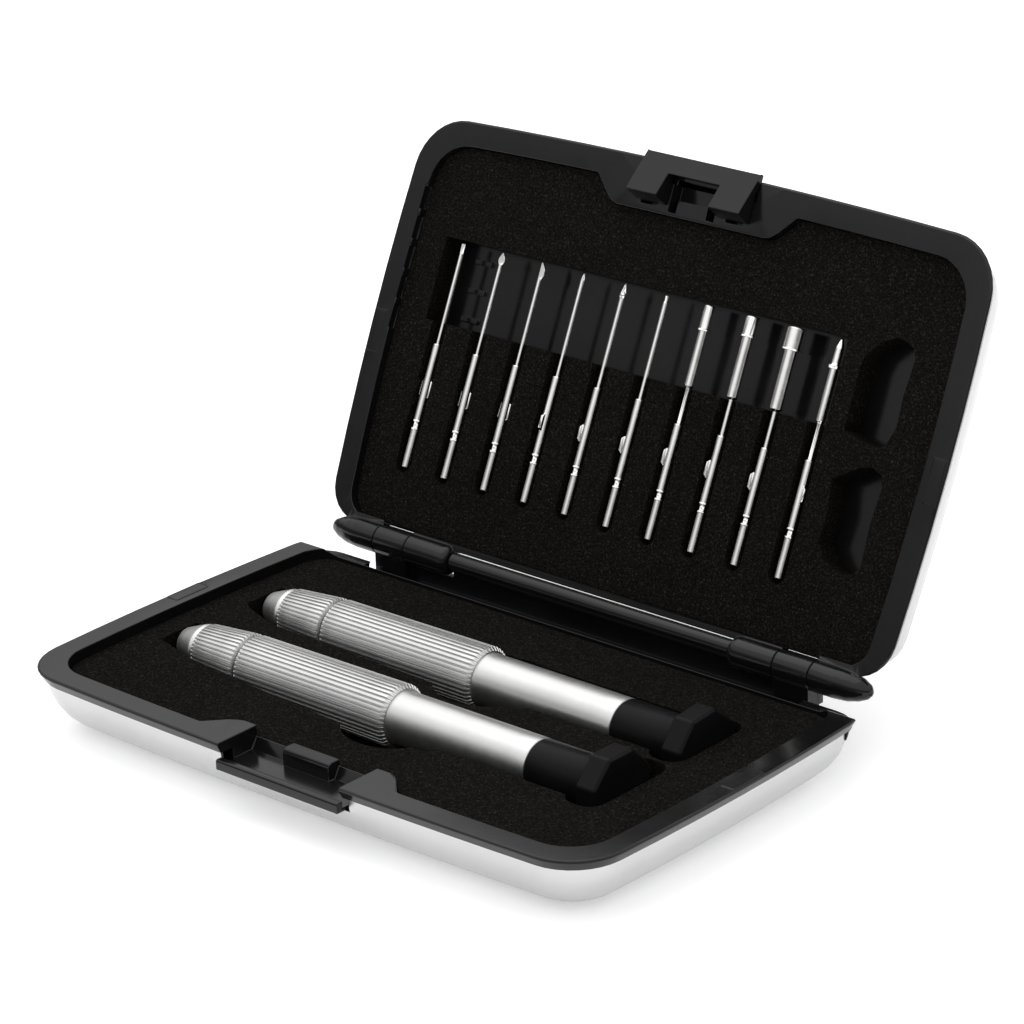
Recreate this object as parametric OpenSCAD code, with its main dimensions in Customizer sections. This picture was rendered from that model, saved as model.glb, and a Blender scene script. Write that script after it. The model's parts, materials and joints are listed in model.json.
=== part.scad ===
// Precision screwdriver set: hinged two-part case, two drivers, ten blades.
// Millimetres. +Z up, z = 0 under the base, x = 0 at mid length.
// "v" is the distance forward of the hinge axis, so y = hinge_y - v.

/* [Case] */
// Length of the case along its hinge
case_length = 150; // [149:0.5:152]
// Reach from the hinge axis to the front edge
case_reach = 90.5; // [90:0.5:92]
// Depth of each half
half_depth = 14; // [14:0.1:15]
// Angle the lid stands open by
open_angle = 115.5; // [0:0.5:120]
// Gap between the two rims when closed
rim_gap = 0.8; // [0.8:0.1:1.2]
// Height of the hinge axis above the base rim
hinge_rise = 1.65; // [1.5:0.05:1.9]
// Sheet thickness of the metal shells
shell_wall = 0.6; // [0.5:0.05:0.6]
// Width of the plastic flange round each tray
flange = 5.3; // [5.2:0.1:5.4]

/* [Foam] */
// How far the base foam lies below the rim
base_foam_drop = 2.3; // [2.2:0.1:2.4]
// How far the lid foam lies below the rim
lid_foam_drop = 1.7; // [1.7:0.1:1.9]

/* [Drivers] */
// Diameter of the fluted grip
grip_d = 13.1; // [12.8:0.1:13.1]
// Diameter of the plain barrel tube
tube_d = 10.8; // [10:0.1:11]
// Width across flats of the swivel cap
cap_flats = 16.2; // [15.6:0.1:16.2]
// Depth of the driver axis below the base rim
driver_depth = 4.2; // [4.2:0.1:4.3]

/* [Blades] */
// Spacing between neighbouring blades
blade_pitch = 11.05; // [10.9:0.05:11.1]
// Diameter of a blade's shank
shank_d = 2; // [1.9:0.1:2]
// Depth of the blade axes below the lid rim
blade_depth = 2.9; // [2.8:0.1:3]

/* [Hidden] */
$fn = 48;
hinge_y = 46;
hinge_z = half_depth + hinge_rise;
foam_gap = 0.1;                     // foam to tray wall
run = 0.05;                         // radial clearance of a turning fit

// outline of a half: four arcs, the same for the base and the lid
half_length = case_length / 2;
front_bow = 1730;
side_bow = 626;
widest_v = 49.9;
corner_r = 11.8;
rear_r = 8;
base_back = 2.8;                    // straight back edge of the base outline
lid_back = 2.1;                     // straight back edge of the lid outline

band_h = 2.4;                       // height of the black edge band
band_in = 1.0;                      // inset of the band at its lower edge
shell_in = 1.6;                     // inset of the shell below the band
fillet_r = half_depth - band_h;     // the shell's wall is one quarter round
wall_r = fillet_r - shell_wall;

// tray floors, as heights above the outer face of each half
base_floor = 1.55;
lid_floor = 6.5;

// hinge
knuckle_r = 3.2;
pin_r = 1.0;
end_knuckle = [57.5, 69.5];
base_knuckle = [48.8, 57.3];
lid_knuckle = [37.3, 48.6];
pin_span = [38.4, 66.4];
back_wall_half = 37;
bead_r = 1.95;                      // bead along the top of the back wall
wall_v = [-1.2, 0.4];               // thickness of the back wall

// latch
boss_v = 79.6;                      // inner edge of the latch boss
boss_flat = 19;
boss_end = 28.5;
latch_half = 14.6;
latch_window = 6.6;
latch_front_v = 91.7;
latch_inner_v = 81.5;
latch_bar_v = 87.8;
latch_peak_v = 83;
latch_peak = 4.2;
latch_foot = 0.05;                  // gap between the latch and the lid's flange
recess_half = 15.8;                 // half width of the base's latch recess
recess_deep = 4.5;
catch_half = 6;
latch_travel = 1.4;

// drivers: front and rear axis, and the rear driver's shift along x
front_v = 53.5;
rear_v = 30.1;
rear_shift = 1.3;
nose_x = -62;
nut_end_x = -43.4;
grip_end_x = -1.8;
tube_end_x = 33.5;
plug_end_x = 48.5;
cap_x = [48.7, 53.6];
spigot_r = 4;
collet_r = 3.2;
cap_pin_r = 1.2;
cap_corner_r = cap_flats / 2 / cos(22.5);

// blades
first_blade_x = -57.8;
blade_tail_v = 15.6;
shank_r = shank_d / 2;
band_x = [-61.9, 43.8];             // finger band in the lid foam
band_v = [47, 64.8];
rib_v = [49, 55.1, 61.3];           // three short ribs on the band's floor
slot_w = 4.1;
slot_deep = 5.1;

// ---- outline and lofts --------------------------------------------------

// points of an arc; the angle is measured from forward (+v) towards +x
function arc(cx, cv, r, from, to, first, last, n) =
    [for (k = [first:last]) let (a = from + (to - from) * k / n)
        [cx + r * sin(a), -cv - r * cos(a)]];

// right half of the outline, inset by i, with its straight back edge at v = back
function half_outline(i, back) =
    let (hx = half_length - i, fr = front_bow - i, sr = side_bow - i,
         rc = max(corner_r - i / 2, 4), rb = max(rear_r - i / 2, 3),
         cv = case_reach - i - rc - pow(hx - rc, 2) / 2 / (fr - rc),
         a2 = asin((cv - widest_v) / (sr - rc)),
         cx = hx - sr + (sr - rc) * cos(a2),
         a1 = asin(cx / (fr - rc)),
         bv = back + rb,
         b2 = asin((widest_v - bv) / (sr - rb)),
         bx = hx - sr + (sr - rb) * cos(b2))
    concat(arc(0, case_reach - i - fr, fr, 0, a1, 1, 5, 6),
           arc(cx, cv, rc, a1, 90 - a2, 0, 8, 8),
           arc(hx - sr, widest_v, sr, 90 - a2, 90 + b2, 1, 5, 6),
           arc(bx, bv, rb, 90 + b2, 180, 0, 6, 6));

// whole ring, counter-clockwise seen from above
function ring(i, back) =
    let (h = half_outline(i, back), n = len(h))
    concat(h, [for (k = [n - 1:-1:0]) [-h[k].x, h[k].y]]);

// closed solid through levels [z, inset, back], lowest first
module loft(levels) {
    rings = [for (l = levels) ring(l[1], l[2])];
    n = len(rings[0]);
    last = len(levels) - 1;
    points = [for (k = [0:last]) for (p = rings[k]) [p.x, p.y, levels[k][0]]];
    walls = [for (k = [0:last - 1]) for (i = [0:n - 1]) let (j = (i + 1) % n)
        for (t = [[k * n + i, k * n + n + i, k * n + n + j],
                  [k * n + i, k * n + n + j, k * n + j]]) t];
    floor_face = [for (i = [0:n - 1]) i];
    top_face = [for (i = [n - 1:-1:0]) last * n + i];
    polyhedron(points, concat(walls, [floor_face, top_face]));
}

// levels of the pressed metal pan, z = 0 at its outer face
function pan_levels(r, back) =
    [for (k = [0:7]) let (t = 90 - 90 * k / 7)
        [fillet_r - r * sin(t), shell_in + fillet_r - r * cos(t),
         back + shell_in + fillet_r - r * cos(t)]];

// pressed metal pan, open upwards, z = 0 at its outer face
module pan(back) {
    inner = pan_levels(wall_r, back);
    difference() {
        loft(pan_levels(fillet_r, back));
        loft(concat(inner, [[fillet_r + 1, inner[7][1], inner[7][2]]]));
    }
}

// box between x, v and z limits, in hinge coordinates
module block(x, v, z) {
    translate([x[0], -v[1], z[0]]) cube([x[1] - x[0], v[1] - v[0], z[1] - z[0]]);
}

// prism of a (v, z) outline between two x values
module prism_x(x, outline) {
    translate([x[0], 0, 0]) rotate([90, 0, 90])
        linear_extrude(x[1] - x[0]) polygon([for (p = outline) [-p[0], p[1]]]);
}

// cylinder along x about (v = 0, z)
module rod_x(x, r, z) {
    translate([x[0], 0, z]) rotate([0, 90, 0]) cylinder(h = x[1] - x[0], r = r);
}

// both mirrored sides
module both_sides() {
    children();
    mirror([1, 0, 0]) children();
}

// the latch boss outline, seen from above: a flat with two S-shaped ends
function boss_side(grow) =
    [for (k = [0:6]) let (t = k / 6)
        [boss_flat + grow + (boss_end - boss_flat) * t,
         -(boss_v - grow + 6.6 * (1 - cos(180 * t)) / 2)]];
module boss(grow, z) {
    side = boss_side(grow);
    translate([0, 0, z[0]]) linear_extrude(z[1] - z[0])
        polygon(concat([[boss_end + grow, -87.5]],
                       [for (k = [6:-1:0]) side[k]],
                       [for (p = side) [-p.x, p.y]],
                       [[-boss_end - grow, -87.5]]));
}

module at_hinge() {
    translate([0, hinge_y, 0]) children();
}

// the lid is drawn closed with z = 0 at its rim and its body above
module lid_place() {
    translate([0, hinge_y, hinge_z]) rotate([-open_angle, 0, 0])
        translate([0, 0, rim_gap - hinge_rise]) children();
}
lid_axis_z = hinge_rise - rim_gap;

// a lid pan: the base's, turned over
module turned_over() {
    translate([0, 0, half_depth]) mirror([0, 0, 1]) children();
}

// ---- base ---------------------------------------------------------------

module base_shell() {
    rim = half_depth;
    color("silver") at_hinge() difference() {
        pan(base_back);
        block([-80, 80], [-1, 9.5], [rim - 4.6, rim]);
        block([-57.8, 57.8], [-1, 12], [rim - 9.2, rim]);
        block([-16.6, 16.6], [84, 95], [rim - 5.5, rim]);
    }
}

// outline of the latch recess in (v, height above the rim), open at the top
function recess_cut(rim) =
    [[79, rim + 2], [79, rim - base_foam_drop], [79.9, rim - base_foam_drop],
     [81.3, rim - recess_deep], [89.4, rim - recess_deep], [89.4, rim - 3.1], [93, rim - 3.1],
     [93, rim + 2]];

// the lip in front of the recess, and the post that stands behind it
module latch_catch(rim) {
    prism_x([-recess_half - 0.1, recess_half + 0.1],
            [[85.8, rim - 5.2], [85.8, rim - recess_deep], [89.4, rim - recess_deep],
             [89.4, rim - 3.1], [90.7, rim - 3.1], [91, rim - 3.4], [91, rim - 5.2]]);
    prism_x([-catch_half, catch_half],
            [[79.7, rim - 5], [79.7, rim - 1], [81.6, rim - 0.9], [82.4, rim - 1.2],
             [82.8, rim - 2], [82.8, rim - 5]]);
}

module base_solid() {
    rim = half_depth;
    loft([[rim - 13.35, 12.4, 15.2], [rim - 12, 8.1, 10.9], [rim - 10.5, 6, 8.8],
          [rim - 7.5, 4.3, 6.5], [rim - band_h + 0.2, 4.3, 6.5]]);
    loft([[rim - band_h, band_in, base_back + band_in], [rim - 0.4, 0, base_back],
          [rim, 0.35, base_back]]);
    intersection() {
        loft([[rim - 4.6, shell_in, 4.4], [rim - band_h, band_in, 4]]);
        block([-80, 80], [0, 9.4], [rim - 5, rim]);
    }
    block([-57.3, 57.3], [-1.2, 7.2], [rim - 9, rim - 4.8]);
}

module base_cavity() {
    rim = half_depth;
    difference() {
        loft([[base_floor, 11, 13.9], [rim - 11.6, 9, 11.4], [rim - 10.5, 7, 9.6],
              [rim - 7.5, flange, 7.2], [rim + 1, flange, 7.2]]);
        boss(0, [0, rim + 2]);
    }
}

// the rim steps down in an S towards the hinge
function rim_step(rim) =
    concat([[-6, rim + 3], [-6, rim - 2.3], [6.2, rim - 2.3]],
           [for (k = [1:6]) [6.2 + 2.4 * k / 6, rim - 2.3 + 2.32 * (1 - cos(30 * k)) / 2]],
           [[8.6, rim + 3]]);

module base_frame() {
    rim = half_depth;
    color("#202021") at_hinge() {
        difference() {
            base_solid();
            base_cavity();
            prism_x([-80, 80], rim_step(rim));
            block([-57.3, 57.3], [-1, 6.2], [rim - 4.8, rim]);
            prism_x([-recess_half, recess_half], recess_cut(rim));
            for (place = [[front_v, 0], [rear_v, rear_shift]])
                block([47.8 + place[1], 55 + place[1]], [place[0] - 7, place[0] + 7], [0.9, 3]);
        }
        latch_catch(rim);
        block([-back_wall_half, back_wall_half], wall_v, [rim - 5, hinge_z]);
        block([-base_knuckle[1], base_knuckle[1]], wall_v, [rim - 5, hinge_z - knuckle_r - 0.3]);
        rod_x([-back_wall_half, back_wall_half], bead_r, hinge_z);
        both_sides() {
            block([71.4, 74.3], [37.5, 46.5], [rim - 0.2, rim + 0.15]);
            difference() {
                union() {
                    rod_x(base_knuckle, knuckle_r, hinge_z);
                    block(base_knuckle, [-2.5, 2.5], [rim - 5, hinge_z]);
                }
                rod_x([base_knuckle[0] - 1, base_knuckle[1] + 1], pin_r + run, hinge_z);
            }
        }
    }
}

// foam pocket of a driver, outline seen from above, in (x, offset from the axis)
module driver_pocket(shift, axis_v, near, far) {
    side = [[-64, 5], [-61.2, near[0]], [-52.5, near[1]], [-39, near[2]],
            [-10, near[3]], [14, near[3]], [16, near[4]], [48.4, near[4]]];
    translate([shift, -axis_v]) {
        polygon(concat([for (p = side) [p[0], -p[1]]],
                       [[48.4, far], [-39, far], [-52.5, far - 1], [-64, 5]]));
        translate([2, -near[5]]) circle(r = 11.8);
    }
}

// square with rounded corners, the room for a swivel cap
module cap_pocket(shift, axis_v, half_w) {
    corner = 3.5;
    translate([shift, -axis_v])
        hull() for (x = [47.6 + corner, 56.2 - corner]) for (y = [-half_w + corner, half_w - corner])
            translate([x, y]) circle(r = corner, $fn = 24);
}

module base_foam() {
    rim = half_depth;
    floor_z = rim - 11;
    color("#2a2625") at_hinge() difference() {
        loft([[base_floor + 0.05, 11.2, 14.2], [rim - 11.5, 9.1, 11.6], [rim - 10.5, 7.1, 9.8],
              [rim - 7.5, flange + foam_gap, 7.3],
              [rim - base_foam_drop, flange + foam_gap, 7.3]]);
        boss(foam_gap, [0, rim]);
        translate([0, 0, floor_z]) linear_extrude(rim) {
            driver_pocket(0, front_v, [5.8, 8.3, 9.8, 12, 9.6, 4.9], 7.2);
            driver_pocket(rear_shift, rear_v, [6.7, 9.5, 10, 10.9, 8.6, 3.4], 8);
        }
        translate([0, 0, -1]) linear_extrude(rim) {
            cap_pocket(0, front_v, 11.6);
            cap_pocket(0, rear_v, 10.9);
        }
    }
}

// ---- lid ----------------------------------------------------------------

module lid_shell() {
    color("silver") lid_place() turned_over() pan(lid_back);
}

// the lid's two knuckles of one side: the inner with a rolled end, the outer tapering away
module lid_knuckles() {
    r = knuckle_r;
    x = lid_knuckle[0];
    e = end_knuckle;
    turned([[x, r - 1], [x + 0.3, r - 0.45], [x + 0.9, r - 0.1], [x + 1.7, r], [lid_knuckle[1], r]]);
    turned([[e[0], r], [e[0] + 5.5, r], [e[0] + 8.5, r - 0.25], [e[0] + 11, r - 0.9],
            [e[0] + 12.7, r - 1.7], [e[1] + 1.4, r - 2.5]]);
}

module lid_frame() {
    floor_z = half_depth - lid_floor;
    color("#202021") lid_place() {
        difference() {
            union() {
                loft([[0, 0.35, lid_back], [0.4, 0, lid_back], [band_h, band_in, lid_back + band_in]]);
                loft([[band_h - 0.2, 4.3, 4.6], [8.3, 4.3, 6.9]]);
            }
            difference() {
                loft([[-1, flange, 3.5], [2.3, flange, 3.5], [2.5, flange, 5.5],
                      [floor_z, flange, 7.6]]);
                boss(0, [-2, half_depth]);
            }
            for (k = [0:4])
                block([-69.9, -68.9], [69.05 - 6.45 * k, 73.95 - 6.45 * k], [-0.1, 1.6]);
            block([-14.9, 14.9], [86.1, 95], [-1, 1]);
            difference() {
                block([-5.9, 5.9], [80.4, 87], [-1, 3]);
                block([-3.9, 3.9], [80, 83], [0, 4]);
            }
            both_sides() {
                block([8.8, 13.2], [81, 88], [-1, 1.3]);
                block([7.4, 14.6], [80.9, 88], [1.2, 2.1]);
            }
            both_sides() rod_x([48.7, 57.4], knuckle_r + 0.3, lid_axis_z);
        }
        for (v = rib_v)
            block([-57.2, -52.4], [v - 0.5, v + 0.5], [floor_z - 0.6, floor_z + 0.1]);
        both_sides() {
            block([71.4, 74.3], [37.5, 46.5], [-0.15, 0.2]);
            difference() {
                union() {
                    translate([0, 0, lid_axis_z]) lid_knuckles();
                    block([end_knuckle[0], 67], [0, 4], [0, band_h]);
                    block([lid_knuckle[0] + 0.8, lid_knuckle[1]], [0, 3.3], [0, band_h]);
                }
                rod_x(pin_span + [-0.2, 0.2], pin_r + run, lid_axis_z);
            }
        }
    }
}

// rooms in the lid foam for the front and the rear driver's cap, as (x, v) outlines
lid_pocket_front = [[48.3, 47.3], [52.5, 46], [57.3, 45.5], [58.9, 47], [60, 50.2], [59.7, 56.5],
                    [60.2, 63.7], [59.3, 65.7], [57.4, 66.7], [55, 67.1], [51.7, 65.5],
                    [48.8, 62.4], [48.2, 59.8]];
lid_pocket_rear = [[49.2, 25], [51.8, 21.8], [54.5, 20.5], [57.4, 20.1], [59.3, 21], [60.3, 22.5],
                   [59.9, 31], [60.4, 38.2], [59.4, 40.6], [57, 41.6], [54.3, 41], [48.4, 37.3],
                   [49.6, 31]];
module lid_pocket(outline) {
    polygon([for (p = outline) [p[0], -p[1]]]);
}

module lid_foam() {
    floor_z = half_depth - lid_floor;
    color("#2a2625") lid_place() difference() {
        loft([[lid_foam_drop, flange + foam_gap, 3.6], [2.2, flange + foam_gap, 3.6],
              [2.5, flange + foam_gap, 5.7], [floor_z - 0.05, flange + foam_gap, 7.8]]);
        boss(foam_gap, [0, half_depth]);
        block(band_x, band_v, [0, half_depth]);
        for (k = [0:9]) translate([first_blade_x + blade_pitch * k, 0, 0]) {
            block([-slot_w / 2, slot_w / 2], [blade_tail_v + 1, band_v[0] + 1], [0, slot_deep]);
            translate([0, -blade_tail_v - 1, 0]) cylinder(h = slot_deep, d = slot_w);
        }
        linear_extrude(half_depth) {
            lid_pocket(lid_pocket_front);
            lid_pocket(lid_pocket_rear);
        }
    }
}

module hinge_pin(side) {
    color("#b8b8ba") at_hinge() mirror([side < 0 ? 1 : 0, 0, 0])
        rod_x(pin_span, pin_r, hinge_z);
}
module hinge_pin_left() { hinge_pin(-1); }
module hinge_pin_right() { hinge_pin(1); }

// sliding latch: a wedge bent in a U, with a foot under each leg
module latch_slider() {
    color("#1c1c1d") lid_place() {
        difference() {
            prism_x([-latch_half, latch_half],
                    [[latch_front_v, -0.15], [latch_front_v, 0], [latch_inner_v, -latch_foot],
                     [latch_peak_v, -latch_peak]]);
            block([-latch_window, latch_window], [latch_inner_v - 1, latch_bar_v], [-5, 1]);
            block([-20, 20], [latch_inner_v - 1, latch_bar_v], [-latch_foot, 1]);
        }
        block([-latch_half, latch_half], [latch_bar_v + 0.1, latch_front_v], [-0.2, 0.85]);
        both_sides() {
            block([9, 13], [82.5, 87.5], [-0.5, 1.6]);
            block([7.7, 14.3], [82.5, 87.5], [1.35, 1.95]);
        }
    }
}

// ---- drivers ------------------------------------------------------------

// turned solid along x from a profile of [x, r] points
module turned(profile) {
    rotate([0, 90, 0]) rotate_extrude()
        polygon(concat([[0, profile[0][0]]], [for (p = profile) [p[1], p[0]]],
                       [[0, profile[len(profile) - 1][0]]]));
}

module driver_place(front) {
    translate([front ? 0 : rear_shift, hinge_y - (front ? front_v : rear_v),
               half_depth - driver_depth]) children();
}

module chuck_nut() {
    color("#b9b9bb") difference() {
        turned([[nose_x, 2.7], [nose_x + 0.5, 3.2], [-57.2, 4.8], [-56.4, 5.1], [-55.9, 4.9],
                [-55.3, 5.35], [nut_end_x - 0.4, 6.25], [nut_end_x, 5.9]]);
        turned([[nose_x - 1, 2.25], [-60.55, 2.25], [-59.35, collet_r + run],
                [-56.5, collet_r + run], [-56.49, spigot_r + run], [nut_end_x + 1, spigot_r + run]]);
    }
}

module collet() {
    color("#8f8f92") difference() {
        turned([[nose_x + 0.2, 1.9], [nose_x + 0.4, 2.2], [-60.6, 2.2], [-59.4, collet_r],
                [-42, collet_r]]);
        turned([[nose_x - 1, shank_r + run], [-50, shank_r + run]]);
        for (a = [0, 90]) rotate([a, 0, 0])
            translate([nose_x - 1, -4, -0.25]) cube([9, 8, 0.5]);
    }
}

module barrel() {
    grip_r = grip_d / 2;
    tube_r = tube_d / 2;
    color("#b9b9bb") difference() {
        turned([[-56, spigot_r - 0.3], [-55.6, spigot_r], [nut_end_x + 0.1, spigot_r],
                [nut_end_x + 0.2, 5.4], [-42.8, 5.4], [-42.7, 6.2], [-42.2, grip_r - 0.25],
                [grip_end_x - 0.9, grip_r], [grip_end_x, tube_r + 0.3], [grip_end_x + 0.01, tube_r],
                [tube_end_x, tube_r]]);
        turned([[-57, collet_r], [-42, collet_r]]);
        turned([[22, 4.4], [tube_end_x + 1, 4.4]]);
    }
}

module end_plug() {
    tube_r = tube_d / 2;
    color("#1d1d1e") difference() {
        turned([[24, 4.35], [tube_end_x, 4.35], [tube_end_x + 0.01, tube_r - 0.1],
                [tube_end_x + 0.3, tube_r], [plug_end_x - 0.4, tube_r], [plug_end_x, tube_r - 0.4]]);
        turned([[43.9, cap_pin_r + 0.01], [plug_end_x + 1, cap_pin_r + 0.01]]);
    }
}

module cap_pin() {
    color("#8f8f92")
        turned([[44, cap_pin_r], [51.2, cap_pin_r], [51.21, 1.9], [51.9, 1.9]]);
}

// eight-sided prism along x with a flat side up
module octagon(x, r) {
    translate([x[0], 0, 0]) rotate([0, 90, 0]) rotate([0, 0, 22.5])
        cylinder(h = x[1] - x[0], r = r, $fn = 8);
}

module swivel_cap(twist) {
    color("#1d1d1e") rotate([twist, 0, 0]) difference() {
        hull() {
            octagon([cap_x[0] + 0.5, cap_x[1] - 0.5], cap_corner_r);
            octagon(cap_x, cap_corner_r - 0.5);
        }
        turned([[cap_x[0] - 1, cap_pin_r + run], [51.05, cap_pin_r + run], [51.06, 2], [52.1, 2]]);
    }
}

module driver_front_chuck_nut() { driver_place(true) chuck_nut(); }
module driver_front_collet() { driver_place(true) collet(); }
module driver_front_barrel() { driver_place(true) barrel(); }
module driver_front_end_plug() { driver_place(true) end_plug(); }
module driver_front_swivel_cap() { driver_place(true) swivel_cap(0); }
module driver_front_cap_pin() { driver_place(true) cap_pin(); }
module driver_rear_chuck_nut() { driver_place(false) chuck_nut(); }
module driver_rear_collet() { driver_place(false) collet(); }
module driver_rear_barrel() { driver_place(false) barrel(); }
module driver_rear_end_plug() { driver_place(false) end_plug(); }
module driver_rear_swivel_cap() { driver_place(false) swivel_cap(5); }
module driver_rear_cap_pin() { driver_place(false) cap_pin(); }

// ---- blades -------------------------------------------------------------

// blade k, drawn along +z from its tail, its flat side in x
module blade_place(k) {
    color("#d8d8da") lid_place()
        translate([first_blade_x + blade_pitch * k, -blade_tail_v, blade_depth])
            rotate([90, 0, 0]) children();
}

// revolved body: shank with two rings, a step, then the sections in front of it
module blade_body(step, front) {
    rotate_extrude() polygon(concat(
        [[0, 0], [shank_r - 0.3, 0], [shank_r, 0.3], [shank_r, 8.3], [shank_r + 0.1, 8.3],
         [shank_r + 0.1, 8.7], [shank_r - 0.2, 8.7], [shank_r - 0.2, 10], [shank_r + 0.1, 10],
         [shank_r + 0.1, 10.4], [shank_r, 10.4], [shank_r, step - 0.2], [shank_r - 0.2, step]],
        front, [[0, front[len(front) - 1][1]]]));
}

// crimped wings that key the shank
module wings(turn) {
    wing_r = 1.65;
    rotate([0, 0, turn]) intersection() {
        translate([0, 0, 15.3]) {
            cylinder(h = 0.6, r1 = shank_r, r2 = wing_r);
            translate([0, 0, 0.6]) cylinder(h = 2.5, r = wing_r);
            translate([0, 0, 3.1]) cylinder(h = 0.6, r1 = wing_r, r2 = shank_r);
        }
        translate([-3, -0.3, 10]) cube([6, 0.6, 12]);
    }
}

// flat tip cut from a plate in the x-z plane
module flat_tip(points, thick) {
    rotate([90, 0, 0]) translate([0, 0, -thick / 2]) linear_extrude(thick) polygon(points);
}

thin_r = 0.5;

module blade_slotted_fine() {
    blade_place(0) {
        blade_body(26.9, [[thin_r, 26.9], [thin_r, 46.4]]);
        wings(0);
        flat_tip([[-0.45, 46.2], [0.45, 46.2], [0.5, 48.5], [-0.5, 48.5]], 0.3);
    }
}

module blade_spear() {
    blade_place(1) {
        blade_body(26.9, [[thin_r, 26.9], [thin_r, 46.2]]);
        wings(0);
        flat_tip([[-0.4, 46], [0.4, 46], [0.85, 47], [0.75, 47.6], [0.15, 48.7], [-0.15, 48.7],
                  [-0.75, 47.6], [-0.85, 47]], 0.4);
    }
}

module blade_knife() {
    blade_place(2) {
        blade_body(26.9, [[thin_r, 26.9], [thin_r, 45.3]]);
        wings(0);
        flat_tip([[-0.4, 45], [0.4, 45], [0.9, 46.3], [0.8, 47.5], [-0.1, 48.8], [-0.4, 48.7]], 0.4);
    }
}

module cross_tip(tip_r, start, end) {
    intersection() {
        translate([0, 0, start]) cylinder(h = end - start, r1 = tip_r, r2 = 0.12);
        union() for (a = [0, 90]) rotate([0, 0, a])
            translate([-1, -0.14, start - 1]) cube([2, 0.28, end]);
    }
    translate([0, 0, start]) cylinder(h = (end - start) * 0.8, r1 = tip_r * 0.75, r2 = 0.1);
}

module blade_phillips_small() {
    blade_place(3) {
        blade_body(26.9, [[thin_r, 26.9], [thin_r, 47.2]]);
        wings(90);
        cross_tip(thin_r, 47.2, 48.7);
    }
}

module blade_phillips_medium() {
    blade_place(4) {
        blade_body(26.9, [[thin_r + 0.05, 26.9], [thin_r + 0.05, 45.6], [thin_r + 0.2, 46.2],
                          [thin_r + 0.2, 46.8]]);
        wings(35);
        cross_tip(thin_r + 0.2, 46.8, 48.8);
    }
}

module blade_torx() {
    blade_place(5) {
        blade_body(26.9, [[thin_r + 0.05, 26.9], [thin_r + 0.05, 46.9], [thin_r - 0.1, 47.3]]);
        wings(35);
        translate([0, 0, 47.2]) cylinder(h = 1.2, r = thin_r - 0.1, $fn = 6);
    }
}

// nut driver: socket head with a hexagonal recess, then a stepped shaft
module nut_blade(k, head_r, head_len, neck_r, neck_end, turn) {
    length = 48.6;
    blade_place(k) {
        difference() {
            blade_body(24.2, [[0.6, 24.2], [0.6, neck_end], [neck_r, neck_end + 0.6],
                              [neck_r, length - head_len - 0.4],
                              [head_r + 0.15, length - head_len - 0.4],
                              [head_r + 0.15, length - head_len], [head_r, length - head_len],
                              [head_r, length - 0.15], [head_r - 0.15, length]]);
            translate([0, 0, length - 2.2]) cylinder(h = 3, r = head_r - 0.35, $fn = 6);
        }
        wings(turn);
    }
}

module blade_nut_small() { nut_blade(6, 1.15, 4.8, 1.0, 31.5, 35); }
module blade_nut_medium() { nut_blade(7, 1.45, 3.8, 1.2, 31.5, 35); }
module blade_nut_large() { nut_blade(8, 1.95, 4.2, 1.4, 31.5, 35); }

module blade_awl() {
    blade_place(9) {
        blade_body(24.2, [[0.6, 24.2], [0.6, 31.5], [0.95, 32.2], [0.95, 42.6], [1.35, 42.6],
                          [1.35, 43.3], [0.95, 43.3], [0.85, 47], [0.15, 48.9]]);
        wings(-35);
    }
}

base_shell();
base_frame();
base_foam();
lid_shell();
lid_frame();
lid_foam();
hinge_pin_left();
hinge_pin_right();
latch_slider();
driver_front_chuck_nut();
driver_front_collet();
driver_front_barrel();
driver_front_end_plug();
driver_front_swivel_cap();
driver_front_cap_pin();
driver_rear_chuck_nut();
driver_rear_collet();
driver_rear_barrel();
driver_rear_end_plug();
driver_rear_swivel_cap();
driver_rear_cap_pin();
blade_slotted_fine();
blade_spear();
blade_knife();
blade_phillips_small();
blade_phillips_medium();
blade_torx();
blade_nut_small();
blade_nut_medium();
blade_nut_large();
blade_awl();
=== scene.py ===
"""Precision screwdriver set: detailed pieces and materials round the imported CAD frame."""

import json
import math

import bmesh
import bpy
from mathutils import Matrix, Vector


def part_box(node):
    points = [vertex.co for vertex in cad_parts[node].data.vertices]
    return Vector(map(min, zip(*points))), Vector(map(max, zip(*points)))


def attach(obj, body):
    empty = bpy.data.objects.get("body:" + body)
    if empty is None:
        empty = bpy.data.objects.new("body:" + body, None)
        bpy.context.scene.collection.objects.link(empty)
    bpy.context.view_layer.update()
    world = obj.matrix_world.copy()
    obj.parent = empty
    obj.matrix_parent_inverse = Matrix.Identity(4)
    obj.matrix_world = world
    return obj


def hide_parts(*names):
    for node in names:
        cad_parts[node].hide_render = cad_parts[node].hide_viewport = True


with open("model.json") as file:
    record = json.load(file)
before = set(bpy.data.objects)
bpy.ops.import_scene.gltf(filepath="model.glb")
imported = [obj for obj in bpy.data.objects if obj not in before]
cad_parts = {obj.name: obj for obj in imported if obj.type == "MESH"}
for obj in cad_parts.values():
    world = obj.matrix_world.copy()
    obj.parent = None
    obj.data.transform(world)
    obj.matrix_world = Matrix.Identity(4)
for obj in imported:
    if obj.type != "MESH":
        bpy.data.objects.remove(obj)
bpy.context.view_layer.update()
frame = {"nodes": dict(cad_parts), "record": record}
record = frame["record"]
BODY_OF = {node: body for body, nodes in record["behaviour"]["bodies"].items() for node in nodes}
SLOT_OF = {part["node"]: part["material_slot"] for part in record["subparts"]}

# Measures of shape are in millimetres and MM turns them into Blender's metres.
MM = 0.001


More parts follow.
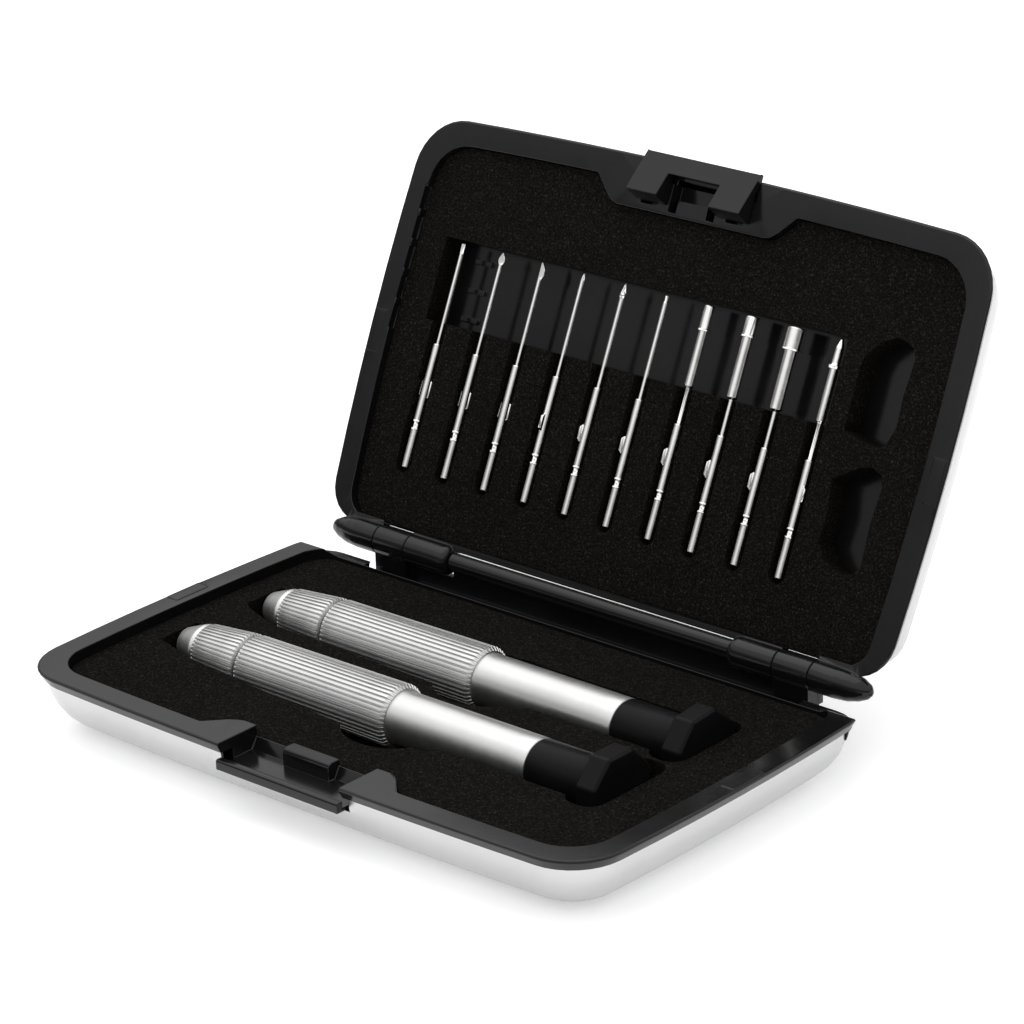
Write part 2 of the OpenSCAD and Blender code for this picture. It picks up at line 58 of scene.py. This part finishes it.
def fill_ramp(node, stops):
    """Gives a colour ramp node its stops, each a position and an (r, g, b) colour."""
    elements = node.color_ramp.elements
    while len(elements) < len(stops):
        elements.new(0.5)
    for element, (position, colour) in zip(elements, stops):
        element.position = position
        element.color = (*colour, 1)


# ---- materials ----------------------------------------------------------

# The part of a noise's range that its colours and its gloss spread over.
NOISE_LOW, NOISE_HIGH = 0.3, 0.7


class Nodes:
    """A short way to write a node material on a Principled shader."""

    def __init__(self, name):
        self.material = bpy.data.materials.new(name)
        self.material.use_nodes = True
        self.tree = self.material.node_tree
        self.shader = self.tree.nodes["Principled BSDF"]
        coordinates = self.tree.nodes.new("ShaderNodeTexCoord")
        self.place = coordinates.outputs["Object"]

    def add(self, kind, **settings):
        node = self.tree.nodes.new(kind)
        for key, value in settings.items():
            setattr(node, key, value)
        return node

    def link(self, out, into):
        self.tree.links.new(out, into)

    def stretched(self, scale):
        mapping = self.add("ShaderNodeMapping")
        mapping.inputs["Scale"].default_value = scale
        self.link(self.place, mapping.inputs["Vector"])
        return mapping.outputs["Vector"]

    def noise(self, scale, detail, roughness=0.55, stretch=None):
        """Noise in the piece's own coordinates, which are metres."""
        node = self.add("ShaderNodeTexNoise")
        node.inputs["Scale"].default_value = scale
        node.inputs["Detail"].default_value = detail
        node.inputs["Roughness"].default_value = roughness
        self.link(self.stretched(stretch) if stretch else self.place, node.inputs["Vector"])
        return node.outputs["Fac"]

    def spread(self, value, low, high):
        """A noise turned into a number from low to high."""
        node = self.add("ShaderNodeMapRange")
        node.inputs["From Min"].default_value = NOISE_LOW
        node.inputs["From Max"].default_value = NOISE_HIGH
        node.inputs["To Min"].default_value = low
        node.inputs["To Max"].default_value = high
        self.link(value, node.inputs["Value"])
        return node.outputs["Result"]

    def ramp(self, value, stops):
        node = self.add("ShaderNodeValToRGB")
        fill_ramp(node, stops)
        self.link(value, node.inputs["Fac"])
        return node.outputs["Color"]

    def tint(self, value, low, high):
        """A noise turned into a colour from low to high."""
        return self.ramp(value, [(NOISE_LOW, low), (NOISE_HIGH, high)])

    def bump(self, height, strength, distance, after=None):
        """A normal with relief of this distance in metres, laid over an earlier bump."""
        node = self.add("ShaderNodeBump")
        node.inputs["Strength"].default_value = strength
        node.inputs["Distance"].default_value = distance
        self.link(height, node.inputs["Height"])
        if after:
            self.link(after, node.inputs["Normal"])
        return node.outputs["Normal"]

    def set(self, **values):
        """Fixed values for the shader's inputs; an underscore stands for a space."""
        for key, value in values.items():
            self.shader.inputs[key.replace("_", " ")].default_value = value

    def feed(self, **outputs):
        """Node outputs for the shader's inputs; an underscore stands for a space."""
        for key, out in outputs.items():
            self.link(out, self.shader.inputs[key.replace("_", " ")])


def shell_metal():
    """Satin anodised aluminium sheet with a very fine grain and faint handling marks."""
    m = Nodes("shell_metal")
    grain = m.noise(5200, 3)
    cloud = m.noise(38, 4)
    m.set(Metallic=1.0)
    m.feed(Base_Color=m.tint(cloud, (0.55, 0.55, 0.555), (0.60, 0.60, 0.60)),
           Roughness=m.spread(cloud, 0.26, 0.34),
           Normal=m.bump(grain, 0.06, 0.00004))
    return m.material


def black_plastic(name, tone, rough_low, rough_high, grain_strength, specular):
    """Moulded black plastic: a slight orange peel, dust-fine grain and uneven gloss."""
    m = Nodes(name)
    grain = m.noise(2600, 3)
    peel = m.noise(420, 2)
    cloud = m.noise(60, 5)
    m.set(Specular_IOR_Level=specular)
    m.feed(Base_Color=m.tint(cloud, (tone * 0.8, tone * 0.8, tone * 0.8),
                             (tone * 1.2, tone * 1.2, tone * 1.22)),
           Roughness=m.spread(cloud, rough_low, rough_high),
           Normal=m.bump(grain, grain_strength, 0.00003, m.bump(peel, 0.05, 0.0001)))
    return m.material


def foam_material():
    """Dense closed-cell foam: brown-black with fine pale flecks and open pores."""
    m = Nodes("foam")
    cells = m.add("ShaderNodeTexVoronoi")
    cells.inputs["Scale"].default_value = 2300
    m.link(m.place, cells.inputs["Vector"])
    speck = m.noise(2600, 5, 0.8)
    cloud = m.noise(55, 4)
    fleck = m.ramp(speck, [(0.42, (0.0034, 0.0031, 0.0026)), (0.54, (0.0080, 0.0073, 0.0062)),
                           (0.62, (0.024, 0.022, 0.0185)), (0.74, (0.09, 0.082, 0.069))])
    shade = m.tint(cloud, (0.85, 0.85, 0.85), (1, 1, 1))
    mix = m.add("ShaderNodeMix", data_type="RGBA", blend_type="MULTIPLY")
    mix.inputs["Factor"].default_value = 1.0
    m.link(fleck, mix.inputs["A"])
    m.link(shade, mix.inputs["B"])
    m.set(Roughness=0.95, Specular_IOR_Level=0.02)
    m.feed(Base_Color=mix.outputs["Result"],
           Normal=m.bump(speck, 0.55, 0.00016, m.bump(cells.outputs["Distance"], 0.4, 0.00012)))
    return m.material


def grip_aluminium():
    """Fine turned aluminium: faint rings round the axis, which lies along x."""
    m = Nodes("grip_aluminium")
    rings = m.noise(900, 3, 0.6, stretch=(6, 0.4, 0.4))
    grain = m.noise(4200, 2)
    cloud = m.noise(70, 3)
    m.set(Metallic=1.0)
    m.feed(Base_Color=m.tint(cloud, (0.60, 0.60, 0.595), (0.66, 0.66, 0.655)),
           Roughness=m.spread(rings, 0.33, 0.45),
           Normal=m.bump(rings, 0.05, 0.00003, m.bump(grain, 0.12, 0.00003)))
    return m.material


def blade_nickel():
    """Bright nickel plate, a little uneven, with fine drawn lines along the shaft."""
    m = Nodes("blade_nickel")
    lines = m.noise(1500, 3, 0.6, stretch=(4, 0.5, 0.5))
    cloud = m.noise(260, 4)
    m.set(Metallic=1.0)
    m.feed(Base_Color=m.tint(cloud, (0.80, 0.79, 0.77), (0.90, 0.895, 0.885)),
           Roughness=m.spread(cloud, 0.10, 0.22),
           Normal=m.bump(lines, 0.05, 0.00002))
    return m.material


def pin_steel():
    """Drawn steel, with its lines along x."""
    m = Nodes("pin_steel")
    lines = m.noise(1800, 3, 0.6, stretch=(0.3, 4, 4))
    m.set(Metallic=1.0)
    m.feed(Base_Color=m.tint(lines, (0.50, 0.50, 0.51), (0.60, 0.60, 0.61)),
           Roughness=m.spread(lines, 0.25, 0.38),
           Normal=m.bump(lines, 0.05, 0.00002))
    return m.material


def floor_material():
    """Matt white paper that glows a little, so that it comes out as white as the photo's."""
    m = Nodes("floor_paper")
    fibre = m.noise(900, 4)
    m.set(Roughness=0.9, Specular_IOR_Level=0.1, Emission_Color=(1, 1, 1, 1),
          Emission_Strength=0.3)
    m.feed(Base_Color=m.tint(fibre, (0.93, 0.93, 0.93), (0.95, 0.95, 0.95)),
           Normal=m.bump(fibre, 0.03, 0.0001))
    return m.material


MATERIALS = {
    "shell_metal": shell_metal(),
    "frame_plastic": black_plastic("frame_plastic", 0.005, 0.14, 0.22, 0.10, 0.3),
    "latch_plastic": black_plastic("latch_plastic", 0.005, 0.26, 0.36, 0.2, 0.22),
    "cap_plastic": black_plastic("cap_plastic", 0.0045, 0.30, 0.42, 0.3, 0.09),
    "foam": foam_material(),
    "grip_aluminium": grip_aluminium(),
    "blade_nickel": blade_nickel(),
    "pin_steel": pin_steel(),
}


# ---- pieces -------------------------------------------------------------

WELD = 0.005          # corners closer than this are one corner
CUT_SHARE = 0.4       # the most of a stretch of profile that one rolled edge may take
SOFT_ANGLE = 28       # degrees; an edge that turns further is rounded over
TURNED_ANGLE = 35     # degrees; an edge of a turned piece that turns further is shaded sharp


def dress(piece, node):
    """The piece stands for a CAD node: same body, same material slot."""
    slot = SLOT_OF[node]
    piece.data.materials.clear()
    piece.data.materials.append(MATERIALS[slot])
    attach(piece, BODY_OF[node])
    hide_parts(node)
    return piece


def new_piece(name, shape):
    """An object in the scene made from a bmesh, which is used up."""
    mesh = bpy.data.meshes.new(name)
    shape.to_mesh(mesh)
    shape.free()
    piece = bpy.data.objects.new(name, mesh)
    bpy.context.scene.collection.objects.link(piece)
    return piece


def smooth(piece, angle):
    """Smooth shading, with the edges that turn by more than the angle kept sharp."""
    for face in piece.data.polygons:
        face.use_smooth = True
    piece.data.set_sharp_from_angle(angle=math.radians(angle))


def softened(node, width, segments=2, clamp=False):
    """A copy of a CAD node whose sharp edges are rounded over by a bevel of this width."""
    shape = bmesh.new()
    shape.from_mesh(frame["nodes"][node].data)
    bmesh.ops.remove_doubles(shape, verts=shape.verts, dist=WELD * MM)
    bmesh.ops.dissolve_degenerate(shape, edges=shape.edges, dist=WELD * MM)
    piece = new_piece(node + "_soft", shape)
    smooth(piece, SOFT_ANGLE)
    bevel = piece.modifiers.new("edges", "BEVEL")
    bevel.width = width * MM
    bevel.segments = segments
    bevel.limit_method = "ANGLE"
    bevel.angle_limit = math.radians(SOFT_ANGLE)
    bevel.use_clamp_overlap = clamp
    weighted = piece.modifiers.new("flat_faces", "WEIGHTED_NORMAL")
    weighted.mode = "FACE_AREA"
    weighted.weight = 100
    weighted.keep_sharp = True
    return dress(piece, node)


def lathe(profile, angles, cuts=None, depth_at=None):
    """Solid turned about x from (x, radius) points, one side per angle, closed at both ends.

    Flutes are carved in it by cuts, one share of the full depth per angle, and depth_at(x).
    """
    shape = bmesh.new()
    rings = []
    sides = len(angles)
    for x, r in profile:
        ring = []
        for k, angle in enumerate(angles):
            radius = r - cuts[k] * depth_at(x) if cuts else r
            ring.append(shape.verts.new((x * MM, radius * math.sin(angle) * MM,
                                         radius * math.cos(angle) * MM)))
        rings.append(ring)
    for a, b in zip(rings, rings[1:]):
        for k in range(sides):
            j = (k + 1) % sides
            shape.faces.new((a[k], a[j], b[j], b[k]))
    shape.faces.new(list(reversed(rings[0])))
    shape.faces.new(rings[-1])
    bmesh.ops.recalc_face_normals(shape, faces=shape.faces)
    return shape


def between(a, b, share):
    """The point of a profile that lies this share of the way from a to b."""
    return a[0] + (b[0] - a[0]) * share, a[1] + (b[1] - a[1]) * share


def rounded(profile, size):
    """Each inner corner of a profile is cut back on both sides, for a rolled edge."""
    out = [profile[0]]
    for before, here, after in zip(profile, profile[1:], profile[2:]):
        for other in (before, after):
            span = math.hypot(other[0] - here[0], other[1] - here[1])
            out.append(between(here, other, min(size, span * CUT_SHARE) / span if span else 0))
    out.append(profile[-1])
    return out


# ---- drivers ------------------------------------------------------------

TUBE_LENGTH = 35.3        # of the plain tube behind the fluted grip
TUBE_RADIUS = 5.4
MOUTH_RADIUS = 4.4        # of the hole in the tube's end that takes the plug
MOUTH_DEPTH = 9
SPIGOT_RADIUS = 4.34      # of the plug's part inside that hole
SPIGOT_LENGTH = 8
CORE_RADIUS = 4.05        # of the flat ends where the nut and the grip face each other
NOSE_RADIUS = 2.28        # of the hole that the collet looks out of
ROLLED_EDGE = 0.1
STATION_STEP = 4.0        # longest stretch along a turned piece without a ring of corners
PLUG_SIDES = 96

FLUTES = 42
FLUTE_DEPTH = 0.52
FLUTE_START = 0.2         # length over which a flute gets to its full depth
# How far across its own pitch each point of a flute lies, and how deep it is cut there.
FLUTE_SHAPE = ((0.0, 0.0), (0.12, 0.0), (0.25, 0.0), (0.38, 0.0), (0.5, 0.04), (0.62, 0.9),
               (0.75, 1.0), (0.88, 0.9))
FLUTE_ANGLES = [math.tau * (k + across) / FLUTES
                for k in range(FLUTES) for across, _ in FLUTE_SHAPE]
FLUTE_CUTS = [deep for _ in range(FLUTES) for _, deep in FLUTE_SHAPE]


def fluted(start, end, run_out):
    """How deep the flutes are at a station: they start short and run out on the far chamfer."""
    def depth_at(x):
        return FLUTE_DEPTH * max(0, min((x - start) / FLUTE_START, (end - x) / run_out, 1))
    return depth_at


def along(profile, step):
    """The same profile with extra stations no further apart than step."""
    out = [profile[0]]
    for a, b in zip(profile, profile[1:]):
        n = max(1, math.ceil(abs(b[0] - a[0]) / step))
        out += [(a[0] + (b[0] - a[0]) * k / n, a[1] + (b[1] - a[1]) * k / n)
                for k in range(1, n + 1)]
    return out


def driver(side):
    """Turned nut and grip, moulded plug, and the small pieces, placed by the CAD's boxes."""
    low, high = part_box(f"driver_{side}_barrel")
    centre = (low + high) / 2
    tube_end = high.x / MM
    grip_end = tube_end - TUBE_LENGTH
    nose, nut_end = (corner.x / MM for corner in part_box(f"driver_{side}_chuck_nut"))
    plug_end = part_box(f"driver_{side}_end_plug")[1].x / MM

    # (x, radius) from the bottom of the nose's hole, out round the nose and back
    nut = [(nose + 4.5, CORE_RADIUS), (nose + 1.5, NOSE_RADIUS), (nose + 0.1, NOSE_RADIUS),
           (nose, 2.4), (nose, 2.65), (nose + 0.5, 3.18), (nose + 4.7, 4.78),
           (nose + 5.1, 4.9), (nose + 5.5, 5.05), (nose + 5.8, 4.95), (nose + 6.2, 4.82),
           (nose + 6.7, 5.33), (nut_end - 0.45, 6.25), (nut_end, 5.85), (nut_end, CORE_RADIUS)]
    # from the joint with the nut, over the fluted grip and the tube, and into its mouth
    grip = [(nut_end + 0.15, CORE_RADIUS), (nut_end + 0.2, 5.35), (nut_end + 0.7, 5.4),
            (nut_end + 0.75, 6.0), (nut_end + 1.2, 6.3), (grip_end - 0.95, 6.55),
            (grip_end - 0.05, 5.75), (grip_end, TUBE_RADIUS), (tube_end - 0.25, TUBE_RADIUS),
            (tube_end, 5.2), (tube_end, MOUTH_RADIUS), (tube_end - MOUTH_DEPTH, MOUTH_RADIUS)]
    # from the spigot's inner end to the plug's outer face
    plug = [(tube_end - SPIGOT_LENGTH, SPIGOT_RADIUS), (tube_end + 0.02, SPIGOT_RADIUS),
            (tube_end + 0.02, 5.15), (tube_end + 0.25, 5.38), (plug_end - 0.4, 5.38),
            (plug_end, 5.0)]

    def fluted_shape(profile, depth_at):
        stations = along(rounded(profile, ROLLED_EDGE), STATION_STEP)
        return lathe(stations, FLUTE_ANGLES, FLUTE_CUTS, depth_at)

    plug_angles = [math.tau * k / PLUG_SIDES for k in range(PLUG_SIDES)]
    for part, ending, shape in (
            ("chuck_nut", "turned", fluted_shape(nut, fluted(nose + 6.25, nut_end - 0.05, 0.3))),
            ("barrel", "turned", fluted_shape(grip, fluted(nut_end + 0.76, grip_end - 0.1, 0.85))),
            ("end_plug", "moulded", lathe(rounded(plug, ROLLED_EDGE), plug_angles))):
        bmesh.ops.translate(shape, verts=shape.verts, vec=(0, centre.y, centre.z))
        piece = new_piece(f"driver_{side}_{part}_{ending}", shape)
        smooth(piece, TURNED_ANGLE)
        dress(piece, f"driver_{side}_{part}")
    softened(f"driver_{side}_swivel_cap", width=0.35, segments=3)
    softened(f"driver_{side}_collet", width=0.05, segments=1)
    # the cap's pin is the CAD's own piece and only takes its steel
    pin_slots = frame["nodes"][f"driver_{side}_cap_pin"].data.materials
    pin_slots.clear()
    pin_slots.append(MATERIALS["pin_steel"])


# ---- stage, lights, camera ----------------------------------------------

FLOOR_HALF = 3.0          # metres from the middle of the floor to its edge
# Grey level of the studio by the height of a direction: dark at and below the horizon, then
# white from well above it. A height of 0 is level and 1 is straight up.
WORLD_LEVELS = ((0.0, 0.14), (0.28, 0.17), (0.44, 0.88), (1.0, 1.0))
WORLD_STRENGTH = 1.3

# The view that the case's two outlines fit: degrees, metres, and millimetres for the lens.
HEADING, HEIGHT, ROLL = 42.28, 22.09, -2.085
DISTANCE = 0.87183
TARGET = Vector((-0.0161, 0.04138, 0.03334))
LENS, SENSOR = 152.15, 36
FARTHEST = 20


def stage():
    """White floor, graded studio sky, and the plain view transform."""
    shape = bmesh.new()
    bmesh.ops.create_grid(shape, x_segments=8, y_segments=8, size=FLOOR_HALF)
    floor = new_piece("floor", shape)
    floor.data.materials.append(floor_material())
    world = bpy.data.worlds.new("studio")
    world.use_nodes = True
    tree = world.node_tree
    ray = tree.nodes.new("ShaderNodeTexCoord")
    part = tree.nodes.new("ShaderNodeSeparateXYZ")
    shade = tree.nodes.new("ShaderNodeValToRGB")
    tree.links.new(ray.outputs["Generated"], part.inputs["Vector"])
    tree.links.new(part.outputs["Z"], shade.inputs["Fac"])
    background = tree.nodes["Background"]
    tree.links.new(shade.outputs["Color"], background.inputs["Color"])
    fill_ramp(shade, [(position, (level, level, level)) for position, level in WORLD_LEVELS])
    background.inputs["Strength"].default_value = WORLD_STRENGTH
    bpy.context.scene.world = world
    bpy.context.scene.view_settings.view_transform = "Standard"


def softbox(name, place, aim, size, power):
    """A rectangular area light: metres and watts."""
    light = bpy.data.lights.new(name, "AREA")
    light.shape = "RECTANGLE"
    light.size, light.size_y = size
    light.energy = power
    lamp = bpy.data.objects.new(name, light)
    lamp.location = place
    lamp.rotation_euler = (Vector(aim) - Vector(place)).to_track_quat("-Z", "Y").to_euler()
    bpy.context.scene.collection.objects.link(lamp)


def camera():
    """Looks at TARGET from DISTANCE, turned by HEADING, raised by HEIGHT and tilted by ROLL."""
    a, e, r = (math.radians(v) for v in (HEADING, HEIGHT, ROLL))
    forward = Vector((-math.sin(a) * math.cos(e), math.cos(a) * math.cos(e), -math.sin(e)))
    level = Vector((math.cos(a), math.sin(a), 0))
    up = level.cross(forward)
    right = level * math.cos(r) + up * math.sin(r)
    top = up * math.cos(r) - level * math.sin(r)
    eye = bpy.data.objects.new("camera", bpy.data.cameras.new("camera"))
    eye.data.lens = LENS
    eye.data.sensor_width = SENSOR
    eye.data.clip_end = FARTHEST
    turn = Matrix((right, top, -forward)).transposed()
    eye.matrix_world = Matrix.Translation(TARGET - forward * DISTANCE) @ turn.to_4x4()
    bpy.context.scene.collection.objects.link(eye)
    bpy.context.scene.camera = eye


# ---- the scene ----------------------------------------------------------

camera()
stage()
softbox("overhead", place=(-0.3, 0.05, 0.9), aim=(0, 0.02, 0.02), size=(1.0, 0.8), power=2)
for node, width in (("base_shell", 0.15), ("lid_shell", 0.15), ("base_frame", 0.18),
                    ("lid_frame", 0.18), ("latch_slider", 0.2)):
    softened(node, width)
for inlay in ("base_foam", "lid_foam"):
    softened(inlay, 0.12, 2, clamp=True)
for pin in ("hinge_pin_left", "hinge_pin_right"):
    softened(pin, width=0.1)
driver("front")
driver("rear")
for node in BODY_OF:
    if node.startswith("blade_"):
        softened(node, width=0.04, segments=1)

bpy.context.view_layer.update()
